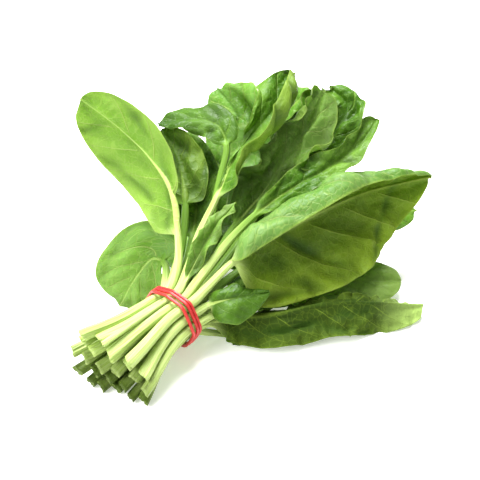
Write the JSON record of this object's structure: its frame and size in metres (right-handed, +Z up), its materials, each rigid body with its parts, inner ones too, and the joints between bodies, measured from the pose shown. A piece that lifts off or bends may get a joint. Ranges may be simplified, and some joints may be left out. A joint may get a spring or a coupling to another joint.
{
  "type": "spinach bunch",
  "caption": "Bunch of fresh spinach lying on its side: leafy stems cut to a bundle, held by a red rubber band wound round the stems.",
  "frame": {"origin": "on the table surface, under the middle of the bunch's overall box", "axes": "+Z up, +Y along the stems from the cut ends to the leaves, +X to the bunch's right as seen from the cut ends"},
  "size_m": [0.2202, 0.2465, 0.1273],
  "materials": {
    "leaf": "fresh leaf, satin",
    "rubber": "satin, coral red"
  },
  "bodies": {
    "root": {"leaf_tall_left": "leaf", "leaf_hanging_left": "leaf", "leaf_left_bright": "leaf", "leaf_left_inner": "leaf", "leaf_top_folded": "leaf", "leaf_arched_over": "leaf", "leaf_shaded_upright": "leaf", "leaf_centre_cupped": "leaf", "leaf_top_right": "leaf", "leaf_long_right": "leaf", "leaf_big_front": "leaf", "leaf_short_right": "leaf", "leaf_right_peeking": "leaf", "leaf_right_under": "leaf", "leaf_right_pale": "leaf", "leaf_small_pointed": "leaf", "leaf_low_long": "leaf", "leaf_small_low": "leaf", "leaf_back_high": "leaf", "leaf_back_far": "leaf", "leaf_low_back_left": "leaf", "leaf_low_left": "leaf", "leaf_low_back": "leaf", "leaf_low_middle": "leaf", "leaf_narrow_on_stems": "leaf", "rubber_band": "rubber"}
  },
  "joints": []
}
